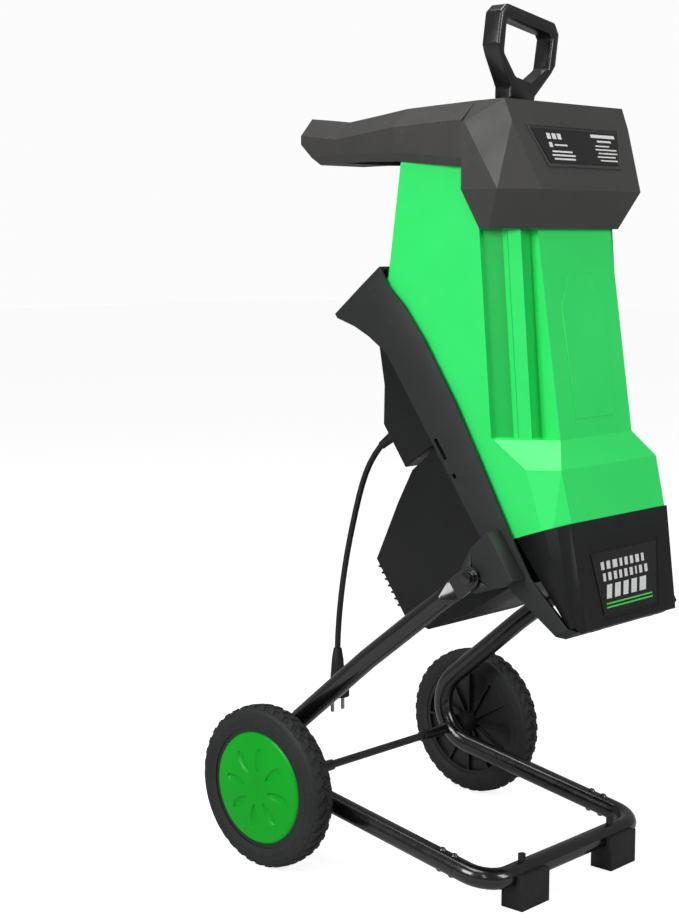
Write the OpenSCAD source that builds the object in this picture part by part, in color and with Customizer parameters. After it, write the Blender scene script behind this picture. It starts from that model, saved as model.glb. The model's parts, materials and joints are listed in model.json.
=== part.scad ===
// Electric garden shredder: tilting green hopper over a blade disc and geared motor,
// on a wheeled tube frame. Front is -Y, up is +Z, wheels and push handle are at +Y.

/* [Hopper] */
// width across the two side walls of the green hopper
hopper_w = 236; // [200:1:270]
// wall thickness of the moulded plastic shells
shell_t = 3; // [2.5:0.5:4]
// height of the hopper side walls above the upper end of the casing
hopper_h = 134; // [110:1:170]
// how far the head cover stands out past the hopper on each side
head_over = 12; // [8:1:20]
// length of the push handle behind the hopper
handle_len = 238; // [160:1:280]
// depth of the two moulded corner grooves
groove_d = 6; // [3:0.5:8]

/* [Casing] */
// angle of the parting plane between hopper and casing, from the ground
deck_a = 54.7; // [50:0.1:60]
// depth of the casing tray behind the parting plane
tray_d = 44; // [42:1:48]
// height of the lower tip of the casing above the axle
tip_rise = 227; // [200:1:260]

/* [Cutter and motor] */
// diameter of the blade disc
disc_d = 176; // [140:1:186]
// thickness of the blade disc
disc_t = 6; // [4:1:8]
// outside diameter of the motor can
can_d = 92; // [80:1:94]
// length of the motor can
can_len = 125; // [110:1:127]
// teeth of the driven gear
gear_teeth = 40; // [36:1:42]
// teeth of the motor pinion
pinion_teeth = 10; // [9:1:12]
// spindle diameter
spindle_d = 12; // [10:1:14]
// armature shaft diameter
motor_shaft_d = 10; // [8:1:11]

/* [Frame] */
// outside diameter of the frame tubes
tube_d = 25; // [20:1:26]
// wall of the frame tubes
tube_wall = 2; // [1.5:0.5:2.5]
// axle diameter
axle_d = 10; // [8:1:12]
// bend radius of the side tubes at the axle
bend_r = 52; // [45:1:60]
// corner radius of the front tube
corner_r = 34; // [30:1:45]
// height of the feet
foot_h = 41; // [38:1:46]
// width of a foot along the front tube
foot_w = 52; // [44:1:60]
// length of a foot fore and aft
foot_l = 30; // [26:1:40]

/* [Wheels] */
// wheel diameter over the tyre
wheel_d = 200; // [170:2:240]
// width of the tyre
wheel_w = 36; // [30:1:42]
// diameter of the green hub cap
cap_d = 138; // [110:2:142]

/* [Plunger] */
// sideways lean of the plunger in the feed opening
plunger_tilt = 9; // [0:1:12]
// width of the D handle
grip_w = 112; // [95:1:125]
// length of the plunger stem below the head cover
stem_len = 270; // [200:5:290]

/* [Hidden] */
$fn = 48;

// clearances
fit = 0.3;
run = 0.05;
eps = 0.01;
big = 1200;

// x sizes, from the hopper outwards
hop_x = hopper_w / 2;
tray_gap = 3.5;
tray_t = 3.5;
tray_x = hop_x + tray_gap + tray_t;
head_x = hop_x + head_over;
lug_t = 23;
tab_t = 4;
tube_x = tray_x + lug_t + tab_t / 2;
wheel_gap = 23.5;
wheel_in = tube_x + tube_d / 2 + wheel_gap;
wheel_out = wheel_in + wheel_w;
wheel_r = wheel_d / 2;

// the parting plane: its lower tip, and its length
tip_y = -259;
tip_z = wheel_r + tip_rise;
deck_len = 478;
cs = cos(deck_a);
sn = sin(deck_a);
function up_y(s, n) = tip_y + s * cs - n * sn;
function up_z(s, n) = tip_z + s * sn + n * cs;
module deck() translate([0, tip_y, tip_z]) rotate([deck_a, 0, 0]) children();

// draws a (y, z) outline and gives it a width across x
module across(half) rotate([90, 0, 90]) translate([0, 0, -half]) linear_extrude(2 * half) children();
module from_x(x0, x1) rotate([90, 0, 90]) translate([0, 0, x0]) linear_extrude(x1 - x0) children();
module pair() { children(); mirror([1, 0, 0]) children(); }
module cyl_x(d, x0, x1) translate([x0, 0, 0]) rotate([0, 90, 0]) cylinder(d = d, h = x1 - x0);
module slab(z, h, pts) translate([0, 0, z]) linear_extrude(h) polygon(pts);
function twin(pts) = concat(pts, [for (i = [len(pts) - 1:-1:0]) [-pts[i][0], pts[i][1]]]);

// ---------------------------------------------------------------- hopper
axle_y = 131;
top_z = up_z(deck_len, 0) + hopper_h;
rear_y = 13;
rear_lean = 18;
front_lean = 8.8;
front_y0 = -155;
panel_x = hop_x - 47;
rib_lean = 5;
rib_y = -150;
low_z = tip_z + 125;
skirt_top = tip_z + 213;
nest = 10;
seam_tilt = 19;
function front_y(z) = front_y0 - (top_z - z) * tan(front_lean);

module hopper_side(t)
  polygon([[rear_y - rear_lean - t, top_z + t * 9], [front_y(top_z) + t, top_z + t * 9],
    [front_y(low_z) + t, low_z], [front_y(low_z) - 60, low_z - 60],
    [up_y(40, -nest), up_z(40, -nest) - t], [up_y(deck_len - 4, -nest) - t, up_z(deck_len - 4, -nest) - t],
    [rear_y - t, up_z(deck_len, 4)]]);

// leaning column: outline drawn square to an edge that leans by a, t inside
module leaning(a, pts) translate([0, 0, top_z]) rotate([-a, 0, 0]) translate([0, 0, -big / 2])
  linear_extrude(big) polygon(pts);
module hopper_columns(t) {
  leaning(front_lean, twin([[panel_x - t, front_y0 + t], [panel_x - 4 - t, 200]]));
  leaning(rib_lean, twin([[panel_x - 12, rib_y + t], [hop_x - 28 - t * 0.4, rib_y + t],
    [hop_x - 20 - t * 0.8, rib_y + 13 + t * 0.4], [hop_x - 21 - t, rib_y + 13 + groove_d + t * 0.4],
    [hop_x - 7 - t, rib_y + 36 + t * 0.6], [hop_x - t, rib_y + 36 + t], [hop_x - t, 300]]));
}

// flared lower band
function band(x0, y0, y1, t) = twin([[x0 - t * 0.5, y0 + t], [hop_x - t, y1 + t * 0.6], [hop_x - t, 120]]);
module skirt(t) {
  ring_hull(low_z - 40, band(hop_x - 25, front_y(low_z) - 29, front_y(low_z) - 8, t),
    skirt_top - 30, band(hop_x - 23, front_y(skirt_top) - 19, front_y(skirt_top) + 12, t));
  ring_hull(skirt_top - 30 - eps, band(hop_x - 23, front_y(skirt_top) - 19, front_y(skirt_top) + 12, t),
    skirt_top - t, band(panel_x, front_y(skirt_top), front_y(skirt_top) + 58, t));
}
module hopper_body(t) {
  intersection() {
    across(hop_x - t) hopper_side(t);
    hopper_columns(t);
  }
  intersection() {
    skirt(t);
    across(hop_x - t)
      polygon([[-300, skirt_top + 20], [-300, low_z - 30], [up_y(60, -nest) - t, up_z(60, -nest) - t],
        [up_y(deck_len - 4, -nest), up_z(deck_len - 4, -nest) - t]]);
  }
}

module above_seam(gap)
  translate([0, -236, low_z + gap]) rotate([-seam_tilt, 0, 0]) translate([-big / 2, -big / 2, 0])
    cube([big, big, big]);
module below_seam(gap)
  translate([0, -236, low_z + gap]) rotate([-seam_tilt, 0, 0]) translate([-big / 2, -big / 2, -big])
    cube([big, big, big]);

module ring_hull(z0, a, z1, b) hull() {
  slab(z0, eps, a);
  slab(z1 - eps, eps, b);
}

// tongue at the rear, forked over the lock stud
tongue_s = deck_len - 8;
stud_n = -34;
stud_d = 8;
module tongue()
  deck() difference() {
    translate([-16, tongue_s, stud_n - 9]) cube([32, 4, 60]);
    translate([-stud_d / 2 - fit, tongue_s - 1, stud_n - 20]) cube([stud_d + 2 * fit, 6, 20]);
    translate([0, tongue_s - 1, stud_n]) rotate([-90, 0, 0]) cylinder(d = stud_d + 2 * fit, h = 6);
  }
module hopper_shell() {
  difference() {
    intersection() {
      hopper_body(0);
      above_seam(0);
      deck() translate([-big / 2, -big / 2, -nest]) cube(big);
    }
    hopper_body(shell_t);
  }
  tongue();
}

// ---------------------------------------------------------------- head cover
head_top = top_z + 66;
head_low = top_z - 76;
ridge_z = top_z - 33;
crease_z = top_z + 41;
arm_low = top_z + 1;
mouth_x = 75;
mouth_y0 = -132;
mouth_y1 = -24;
mouth_lip = 34;

// front block of the head, drawn t inside its outer faces
function head_a(t) = twin([[head_x - 50 - t * 0.7, -172 + t], [head_x - 12 - t * 1.1, -134 + t * 0.5],
  [head_x - 12 - t * 1.1, -121 + t]]);
function head_b(t) = twin([[head_x - 33 - t * 0.7, -191 + t * 1.1], [head_x - t * 1.1, -155 + t * 0.6],
  [head_x - t * 1.1, -104 + t]]);
function head_c(t) = twin([[head_x - 17 - t * 0.7, -161 + t * 1.1], [head_x - t * 1.1, -108 + t * 0.6],
  [head_x - t * 1.1, -104 + t]]);
function head_d(t) = twin([[head_x - 16 - t * 0.8, -151 + t * 1.1], [head_x - 26 - t, -104 + t]]);
module head_front(t) {
  ring_hull(head_low - t, head_a(t), ridge_z - t / 2, head_b(t));
  ring_hull(ridge_z - t / 2, head_b(t), crease_z - t / 2, head_c(t));
  ring_hull(crease_z - t / 2, head_c(t), head_top - t, head_d(t));
}

// rear block, from y0 to y1, x0 and x1 wide, with a bevelled top
module head_rear(t, y0, x0, y1, x1, low0, low1, rise0, rise1)
  hull() {
    for (e = [[y0, x0, low0, rise0], [y1, x1, low1, rise1]])
      translate([0, e[0], 0]) rotate([90, 0, 0]) linear_extrude(eps)
        polygon(twin([[e[1] - 6 - t, e[2]], [e[1] - t, e[2] + 10], [e[1] - t, e[3] - 22],
          [max(e[1] - 26, e[1] * 0.45) - t, e[3] - t]]));
  }

grip_y = rear_y - rear_lean + handle_len;
module handle_outer(t) {
  head_rear(t, -104, head_x, 2, head_x - 6, arm_low - 9, arm_low, head_top, head_top - 4);
  head_rear(t, 2, head_x - 6, 84, head_x - 44, arm_low, arm_low + 3, head_top - 4, head_top - 7);
  head_rear(t, 84, head_x - 44, 160, head_x - 76, arm_low + 3, arm_low + 4, head_top - 7, head_top - 10);
  head_rear(t, 160, head_x - 76, grip_y - t, head_x - 92, arm_low + 4, arm_low + 2, head_top - 10, head_top - 2);
}
module mouth_cut(grow)
  translate([-mouth_x - grow, mouth_y0 - grow, head_top - 60])
    cube([2 * (mouth_x + grow), mouth_y1 - mouth_y0 + 2 * grow, 90]);
module grip_cut()
  translate([0, grip_y, arm_low + 30]) rotate([-54, 0, 0]) translate([-100, 0, -80]) cube([200, 60, 160]);
module head_cover()
  difference() {
    union() {
      difference() {
        union() {
          head_front(0);
          handle_outer(0);
        }
        head_front(shell_t);
        translate([0, 0, -shell_t - eps]) head_front(shell_t);
        intersection() {
          translate([0, 0, -shell_t]) handle_outer(shell_t);
          translate([-big / 2, -big, 0]) cube([big, big + 146, big]);
        }
        translate([0, 0, -0.01]) intersection() {
          handle_outer(shell_t);
          translate([-big / 2, -110, 0]) cube([big, 110 + rear_y - 3, arm_low + 20]);
        }
      }
      intersection() {
        difference() {
          mouth_cut(shell_t);
          translate([-big / 2, -big / 2, head_top - mouth_lip - 60]) cube([big, big, 60]);
        }
        translate([-big / 2, -big / 2, 0]) cube([big, big, head_top - eps]);
      }
    }
    mouth_cut(0);
    grip_cut();
  }

label_t = 0.8;
module head_label()
  intersection() {
    difference() {
      ring_hull(ridge_z - eps, head_b(-label_t), crease_z, head_c(-label_t));
      ring_hull(ridge_z - 2 * eps, head_b(0), crease_z + eps, head_c(0));
    }
    translate([0, -300, ridge_z + 30]) rotate([-90, 0, 0])
      linear_extrude(170) polygon(twin([[66, 0], [84, -38]]));
  }

// ---------------------------------------------------------------- plunger
stem_w = 46;
stem_y = 24;
plunger_y = -98;
plunger_x = -27;
grip_h = 104;
grip_r = 11;
module lean() translate([plunger_x, plunger_y, head_top]) rotate([0, plunger_tilt, 0]) children();
module plunger_handle()
  lean() {
    g = grip_w / 2;
    difference() {
      translate([0, 12, 0]) rotate([90, 0, 0]) linear_extrude(24)
        polygon(twin([[stem_w / 2 - 1, 1], [stem_w / 2 + 1, 14], [g - 6, 46], [g, 56], [g, grip_h - 10],
          [g - 9, grip_h]]));
      translate([0, 15, 0]) rotate([90, 0, 0]) linear_extrude(30)
        polygon(twin([[g - 40, 28], [g - 14, 50], [g - 13, grip_h - 19], [g - 18, grip_h - 14]]));
    }
    translate([0, 0, -22]) linear_extrude(24)
      square([stem_w - 8, stem_y - 8], center = true);
  }
module plunger_stem()
  lean()
    difference() {
      union() {
        translate([0, 0, -stem_len]) linear_extrude(stem_len + 1 - eps)
          square([stem_w, stem_y], center = true);
        translate([0, 0, -stem_len]) linear_extrude(10)
          square([stem_w + 46, stem_y + 30], center = true);
      }
      translate([0, 0, -stem_len - 1]) linear_extrude(stem_len + 10)
        square([stem_w - 7, stem_y - 7], center = true);
    }

// ---------------------------------------------------------------- discharge hood
hood_x0 = hop_x - 28;
hood_y = -236;
function hood_a(t) = twin([[hood_x0 - t, -258 + t], [hood_x0 + 14 - t, -248 + t * 0.6],
  [hood_x0 + 14 - t, -180]]);
function hood_b(t) = twin([[hop_x - 20 - t, hood_y + t], [hop_x - 8 - t, hood_y + 9 + t * 0.8],
  [hop_x - t, hood_y + 24 + t * 0.6], [hop_x - t, -140]]);
module hood_outer(t) ring_hull(tip_z - t, hood_a(t), low_z + 6, hood_b(t));
hinge_s = 12.6;
hinge_n = -6;
hinge_d = 7;
pin_end = 80;
ear_d = 13;
ear_t = 8;
hood_ear_x = 62;
module discharge_hood()
  difference() {
    union() {
      intersection() {
        difference() {
          hood_outer(0);
          translate([0, 0, -eps]) hood_outer(shell_t);
        }
        deck() difference() {
          translate([-big / 2, 6, -8]) cube(big);
          translate([-big / 2, 5, -9]) cube([big, 10, 6.8]);
        }
      }
      intersection() {
        hood_outer(0.5);
        deck() hinge_ears(hood_ear_x, hood_ear_x + ear_t, 0);
      }
    }
    above_seam(-fit);
    hood_recess();
    deck() translate([0, hinge_s, hinge_n]) cyl_x(hinge_d + 2 * run, -90, 90);
  }
// the label panel set into the front of the hood
module hood_recess()
  translate([0, -258, tip_z]) rotate([-9.3, 0, 0]) translate([0, 0, 12])
    rotate([90, 0, 0]) translate([0, 0, -1.2]) linear_extrude(20)
      polygon(twin([[57, 1], [70.5, 82]]));
module hood_label()
  translate([0, -258, tip_z]) rotate([-9.3, 0, 0]) translate([0, 0, 12])
    rotate([90, 0, 0]) translate([0, 0, -1.2]) linear_extrude(0.9)
      polygon(twin([[52.5, 6], [65.5, 77]]));

// ---------------------------------------------------------------- casing
spin_s = 227;
motor_s = spin_s - 50;
// start and length of the two vent slots in each side wall of the tray
tray_vents = [[229, 6], [254, 28]];
// outline of the tray in plan, narrowed at its low end to the width of the hood
module tray_plan(t)
  translate([0, 0, -big / 2]) linear_extrude(big)
    polygon(twin([[tray_x - tip_cut - t, 9 - big / 10], [tray_x - tip_cut - t, 9], [tray_x - tip_in - t, 16],
      [tray_x - t, 84], [tray_x - t, big]]));
tip_in = 13;
tip_cut = 28;
module casing_tray()
  deck() difference() {
    union() {
      intersection() {
        across(tray_x)
          polygon([[10, -22], [10, -5.2], [40, -7.2], [82, -9], [140, -5], [227, 4], [301, 11], [385, 13],
            [433, 10], [466, 3], [492, 5], [490, -31], [486, -86], [480, -86], [456, -68], [434, -56],
            [403, -tray_d], [96, -tray_d], [88, -tray_d + 4]]);
        tray_plan(0);
      }
      hinge_ears(48, 58, 1);
    }
    intersection() {
      across(tray_x - tray_t)
        polygon([[14, 40], [14, -19], [90, -36.5], [100, -tray_d + 4], [402, -tray_d + 4],
          [435, -51.5], [458, -63.5], [486, -64], [488.5, 40]]);
      tray_plan(tray_t);
    }
    across(84) polygon([[20, 0], [20, -60], [86, -60], [86, 0]]);
    translate([0, spin_s, -60]) cylinder(d = 38.5, h = 60);
    translate([0, hinge_s, hinge_n]) cyl_x(hinge_d + 2 * run, -pin_end - fit, pin_end + fit);
    pair() translate([0, hinge_s, hinge_n]) cyl_x(ear_d + 4 * fit, hood_ear_x - 2 * fit, hood_ear_x + ear_t + 2 * fit);
    pair() for (p = screw_at) translate([p[0], p[1], -tray_d - 1]) cylinder(d = screw_d + 2 * run, h = tray_t + 2);
    translate([0, deck_len, stud_n]) rotate([-90, 0, 0]) cylinder(d = stud_d + 2 * run, h = 30);
    pair() for (v = tray_vents) translate([tray_x - tray_t - 1, v[0], 4 - tray_d]) cube([tray_t + 2, v[1], 5]);
  }
module hinge_ears(x0, x1, from_tray)
  pair() {
    translate([0, hinge_s, hinge_n]) cyl_x(ear_d - from_tray, x0, x1);
    if (from_tray > 0)
      from_x(x0, x1) polygon([[hinge_s - 2, hinge_n - 14], [hinge_s + 20, hinge_n - 16],
        [hinge_s + 5, hinge_n + 4], [hinge_s - 6, hinge_n - 3]]);
    else
      from_x(x0, x1) polygon([[hinge_s - 6.5, hinge_n], [hinge_s + 6.5, hinge_n], [hinge_s + 30, hinge_n + 40],
        [hinge_s, hinge_n + 50]]);
  }

// motor housing: hollow nose behind the tray
box_x = hop_x - 30;
nose_n = -230;
flange_t = 4;
vent_x = 58;
function nose(t) = [[96 + t, -tray_d], [100 + t, -140], [112 + t, -206 + t * 0.5], [140 + t * 0.4, nose_n + t],
  [222 - t * 0.6, nose_n + t], [262 - t, -160], [283 - t, -118], [288 - t, -tray_d]];
screw_d = 5;
screw_at = [[box_x + 10, 128], [box_x + 10, 256]];
module motor_housing()
  deck() difference() {
    union() {
      across(box_x) polygon(nose(0));
      across(box_x + 18)
        polygon([[112, -tray_d], [112, -tray_d - flange_t], [272, -tray_d - flange_t], [272, -tray_d]]);
    }
    across(box_x - shell_t) polygon(concat([for (p = nose(shell_t)) p], [[290, -tray_d + 1], [96, -tray_d + 1]]));
    translate([-vent_x, 160, nose_n - 1]) cube([2 * vent_x, 54, 8]);
    pair() for (p = screw_at) translate([p[0], p[1], -tray_d - 10]) cylinder(d = screw_d + 2 * run, h = 12);
  }
module housing_screws()
  deck() pair() for (p = screw_at) translate([p[0], p[1], 0]) {
    translate([0, 0, -tray_d - flange_t - 3]) cylinder(d = 9, h = 3);
    translate([0, 0, -tray_d - flange_t - eps]) cylinder(d = screw_d, h = flange_t + 4);
  }
fin_pitch = 9;
fins = 7;
module vent_grille()
  deck() {
    difference() {
      translate([-box_x + 6, 154, nose_n - 3]) cube([2 * box_x - 12, 66, 3]);
      for (i = [0:fins - 2]) translate([-vent_x + 3, 162 + i * fin_pitch, nose_n - 4])
        cube([2 * vent_x - 6, 5, 5]);
    }
    for (i = [0:fins - 1])
      across(box_x - 6) translate([155.5 + i * fin_pitch, nose_n - 3])
        polygon([[0, 0.01], [4.5, 0.01], [6, -4.5], [4, -5]]);
  }

// switch housing above the motor housing
switch_x = box_x - 1;
back_n = -126;
function switch_side(t) = [[291 + t, -tray_d], [291 + t, back_n + t], [352 - t * 0.4, back_n + t],
  [390 - t, -98 + t * 0.7], [446 - t * 3, -72 + t * 0.2], [431 - t * 2, -57.5], [401 - t * 2, -tray_d]];
on_x = -22;
off_x = 6;
reset_x = 32;
button_s = 322;
button_d = 19;
reset_d = 12;
gland_x = -66;
gland_s = 340;
gland_d = 14;
press = 3;
module switch_housing()
  deck() difference() {
    across(switch_x) polygon(switch_side(0));
    across(switch_x - shell_t)
      polygon(concat(switch_side(shell_t), [[394, -tray_d + 1], [294, -tray_d + 1]]));
    for (b = [[on_x, button_d], [off_x, button_d], [reset_x, reset_d]])
      translate([b[0], button_s, back_n - 1]) cylinder(d = b[1] + 2 * fit, h = shell_t + 2);
    translate([gland_x, gland_s, back_n - 1]) cylinder(d = gland_d - 3 + 2 * run, h = shell_t + 2);
    for (i = [0:3]) translate([switch_x - 10, 312 + i * 12, -88]) cube([20, 5, 30]);
  }
module button(x, d)
  deck() translate([x, button_s, back_n - 5]) {
    cylinder(d = d, h = 12);
    translate([0, 0, 8.4]) cylinder(d = d + 4, h = 3.6);
  }
module cord_gland()
  deck() translate([gland_x, gland_s, back_n]) difference() {
    union() {
      translate([0, 0, -6]) cylinder(d = gland_d + 3, h = 6);
      translate([0, 0, -34]) cylinder(d1 = cord_d + 2.4, d2 = gland_d, h = 28 + eps);
      cylinder(d = gland_d - 3, h = 8);
    }
    translate([0, 0, -35]) cylinder(d = cord_d + 2 * run, h = 50);
  }

// mains cord: points along its middle, from the gland down to the plug
cord_d = 7.5;
cord_sides = 10;
cord_pts = [[43, 529.5], [50, 524.6], [60, 517.5], [70.5, 510], [79, 500], [87, 488.5], [94, 475.5], [100, 461],
  [105.5, 445], [110.5, 428], [115.5, 410], [120.5, 391], [125, 372], [129, 353], [132.5, 334],
  [135.5, 315], [138, 296], [139.8, 278], [141, 262], [141.5, 248], [141.5, 240]];
function norm3(v) = v / norm(v);
function cord_dir(i) = norm3([cord_pts[min(i + 1, len(cord_pts) - 1)][0] - cord_pts[max(i - 1, 0)][0],
  cord_pts[min(i + 1, len(cord_pts) - 1)][1] - cord_pts[max(i - 1, 0)][1]]);
cord_ring = [for (k = [0:cord_sides - 1]) cord_d / 2 * [cos(k * 360 / cord_sides), sin(k * 360 / cord_sides)]];
module cord() {
  n = len(cord_pts);
  lift = wheel_r - 100 + tip_rise - 227;
  polyhedron(
    points = [for (i = [0:n - 1]) for (k = [0:cord_sides - 1])
      [gland_x + cord_ring[k][0], cord_pts[i][0] - cord_dir(i)[1] * cord_ring[k][1],
        cord_pts[i][1] + cord_dir(i)[0] * cord_ring[k][1] + lift]],
    faces = ring_faces(n, cord_sides));
}
plug_len = 56;
plug_face = 30;
pin_len = 19;
pin_d = 4.8;
pin_pitch = 19;
module at_plug() {
  last = cord_pts[len(cord_pts) - 1];
  translate([gland_x, last[0], last[1] + wheel_r - 100 + tip_rise - 227]) rotate([180, 0, 0]) children();
}
module plug()
  at_plug() difference() {
    union() {
      translate([0, 0, -6]) cylinder(d1 = cord_d + 3, d2 = 15, h = 14);
      translate([0, 0, 8 - eps]) cylinder(d1 = 15, d2 = 21, h = plug_len - 16);
      translate([0, 0, plug_len - 9]) cylinder(d = plug_face, h = 9);
    }
    translate([0, 0, -7]) cylinder(d = cord_d + 0.4, h = 7.2);
    for (x = [-1, 1]) translate([x * pin_pitch / 2, 0, plug_len - 8]) cylinder(d = pin_d + 2 * run, h = 10);
  }
module plug_pins()
  at_plug() for (x = [-1, 1]) translate([x * pin_pitch / 2, 0, plug_len - 8]) cylinder(d = pin_d, h = pin_len + 8);

// lock knob and stud behind the casing
module lock_knob()
  deck() translate([0, 493, stud_n]) rotate([-90, 0, 0]) difference() {
    union() {
      cylinder(d = 26, h = 4);
      translate([0, 0, 3]) linear_extrude(15) {
        circle(d = 34);
        for (i = [0:5]) rotate(i * 60) translate([15, 0]) circle(d = 13);
      }
    }
    translate([0, 0, -1]) cylinder(d = stud_d, h = 13 + eps);
  }
module lock_stud()
  deck() translate([0, 466, stud_n]) rotate([-90, 0, 0]) {
    cylinder(d = 17, h = 3.4);
    cylinder(d = stud_d, h = 39);
  }
module hinge_pin() deck() translate([0, hinge_s, hinge_n]) cyl_x(hinge_d, -pin_end, pin_end);

// ---------------------------------------------------------------- cutter
bearing_d = 26;
bearing_h = 8;
floor_n = -tray_d + 4;
disc_n = -26;
module at_spin(n) deck() translate([0, spin_s, n]) children();
module at_motor(n) deck() translate([0, motor_s, n]) children();
module bearing_plate()
  deck() difference() {
    union() {
      translate([-66, spin_s - 60, floor_n]) cube([132, 126, 3]);
      translate([0, spin_s, floor_n - 12]) cylinder(d = 36, h = 14);
    }
    translate([0, spin_s, floor_n - 13]) cylinder(d = bearing_d + 2 * run, h = 9 + 1);
    translate([0, spin_s, floor_n - 13]) cylinder(d = spindle_d + 4, h = 20);
  }
module one_bearing(id) difference() {
  cylinder(d = bearing_d, h = bearing_h);
  translate([0, 0, -1]) cylinder(d = id + 2 * run, h = bearing_h + 2);
}
module bearings() {
  at_spin(floor_n - 11.5) one_bearing(spindle_d);
  at_spin(case_n + 4) one_bearing(spindle_d);
  at_motor(case_n - 9) one_bearing(motor_shaft_d);
  at_motor(can_n + 3.5) one_bearing(motor_shaft_d);
}
module spindle() {
  at_spin(case_n + 4.5) cylinder(d = spindle_d, h = disc_n + disc_t - case_n - 4.5);
  at_spin(floor_n + 4) cylinder(d = 34, h = disc_n - floor_n - 4);
}
module blade_disc()
  at_spin(disc_n + eps) difference() {
    cylinder(d = disc_d, h = disc_t - eps);
    translate([0, 0, -1]) cylinder(d = spindle_d + 2 * run, h = disc_t + 2);
    for (a = [0, 180]) rotate([0, 0, a]) {
      translate([22, 9, -1]) cube([disc_d / 2 - 36, 12, disc_t + 2]);
      for (r = screw_r) translate([r, -6, -1]) cylinder(d = screw_d + 2 * run, h = disc_t + 2);
    }
  }
blade_t = 4;
screw_r = [34, disc_d / 2 - 22];
module blades()
  at_spin(disc_n + disc_t) for (a = [0, 180]) rotate([0, 0, a]) difference() {
    translate([disc_d / 4 - 1, 0, 0]) rotate([90, 0, 90])
      translate([0, 0, -disc_d / 4 + 21]) linear_extrude(disc_d / 2 - 32)
        polygon([[-16, 0], [9, 0], [4, blade_t], [-16, blade_t]]);
    for (r = screw_r) translate([r, -6, -1]) cylinder(d = screw_d + 2 * run, h = blade_t + 2);
  }
module blade_screws()
  at_spin(disc_n) for (a = [0, 180]) rotate([0, 0, a]) for (r = screw_r) translate([r, -6, 0]) {
    translate([0, 0, disc_t + blade_t]) cylinder(d = 9, h = 2);
    translate([0, 0, 0.2]) cylinder(d = screw_d, h = disc_t + blade_t);
  }
module disc_bolt() at_spin(disc_n + disc_t) {
  cylinder(d = 24, h = 2);
  translate([0, 0, 2 - eps]) cylinder(d = 13, h = 6, $fn = 6);
}

// spur gear outline with straight-sided teeth
gear_mod = 100 / (gear_teeth + pinion_teeth);
function tooth(i, n, m, r) =
  [for (p = [[-0.50, -1.2], [-0.31, -1.2], [-0.13, 0.9], [0.13, 0.9], [0.31, -1.2]])
    let (a = (i + p[0]) * 360 / n, q = r + p[1] * m) [q * cos(a), q * sin(a)]];
module spur(n, h, phase) rotate([0, 0, phase]) linear_extrude(h)
  polygon([for (i = [0:n - 1]) for (p = tooth(i, n, gear_mod, n * gear_mod / 2)) p]);
gear_n = -66;
gear_h = 12;
module drive_gear()
  at_spin(gear_n) difference() {
    spur(gear_teeth, gear_h, 90);
    translate([0, 0, -1]) cylinder(d = spindle_d + 2 * run, h = gear_h + 2);
    for (a = [45:90:359]) rotate([0, 0, a]) translate([22, 0, -1]) cylinder(d = 13, h = gear_h + 2);
  }
module pinion()
  at_motor(gear_n - 1) difference() {
    spur(pinion_teeth, gear_h + 2, 90 + 180 / pinion_teeth);
    translate([0, 0, -1]) cylinder(d = motor_shaft_d - 2 + 2 * run, h = gear_h + 4);
  }

// ---------------------------------------------------------------- motor
case_n = -82;
can_n = case_n - 4 - can_len;
can_t = 2.5;
case_x = 52;
case_len = 149;
module gear_case()
  deck() difference() {
    union() {
      translate([-case_x, motor_s - 48, case_n]) cube([2 * case_x, case_len, -tray_d - case_n]);
      translate([0, motor_s, case_n - 4]) cylinder(d = can_d, h = 5);
      translate([0, motor_s, case_n - 12]) cylinder(d = bearing_d + 6, h = 10);
    }
    translate([-case_x + 4, motor_s - 44, case_n + 4]) cube([2 * case_x - 8, case_len - 8, 40]);
    translate([0, spin_s, case_n + 4]) cylinder(d = bearing_d + 2 * run, h = 10);
    translate([0, motor_s, case_n - 13]) cylinder(d = bearing_d + 2 * run, h = 4 + bearing_h);
    translate([0, motor_s, case_n - 13]) cylinder(d = motor_shaft_d + 3, h = 30);
  }
module bearing_seat() difference() {
  cylinder(d = bearing_d + 6, h = 9);
  cylinder(d = bearing_d + 2 * run, h = 10);
}
module motor_can() {
  at_motor(can_n) difference() {
    cylinder(d = can_d, h = can_len);
    translate([0, 0, can_t]) cylinder(d = can_d - 2 * can_t, h = can_len);
    translate([0, 0, -1]) cylinder(d = motor_shaft_d + 3, h = 6);
    for (a = [20:60:379]) rotate([0, 0, a]) translate([26, -5, -1]) cube([12, 10, 5]);
  }
  at_motor(can_n + can_t) bearing_seat();
}
in_d = can_d - 2 * can_t;
rotor_d = in_d * 0.575;
module stator()
  at_motor(can_n + 36) difference() {
    cylinder(d = in_d - 2 * run, h = 52);
    translate([0, 0, -1]) cylinder(d = rotor_d + 1.6, h = 54);
    for (a = [0, 180]) rotate([0, 0, a]) translate([-16, rotor_d / 2 - 2, -1]) cube([32, 9, 54]);
  }
module armature_shaft() {
  at_motor(can_n + 4) cylinder(d = motor_shaft_d, h = gear_n - 2 - can_n - 4);
  at_motor(gear_n - 2 - eps) cylinder(d = motor_shaft_d - 2, h = gear_h + 4);
}
module ring(od, id, h) difference() {
  cylinder(d = od, h = h);
  translate([0, 0, -1]) cylinder(d = id, h = h + 2);
}
module rotor_stack() {
  at_motor(can_n + 37) ring(rotor_d, motor_shaft_d + 2 * run, 50);
  at_motor(can_n + 31) ring(rotor_d * 0.8, motor_shaft_d + 2 * run, 6);
  at_motor(can_n + 87) ring(rotor_d * 0.8, motor_shaft_d + 2 * run, 6);
}
comm_d = 26;
module commutator() at_motor(can_n + 14) ring(comm_d, motor_shaft_d + 2 * run, 16);
module motor_fan()
  at_motor(can_n + 96) {
    ring(24, motor_shaft_d + 2 * run, 12);
    ring(in_d - 10, 23, 1.5);
    for (a = [0:30:359]) rotate([0, 0, a]) translate([11.5, -0.75, 0]) cube([in_d / 2 - 17, 1.5, 9]);
  }
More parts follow.
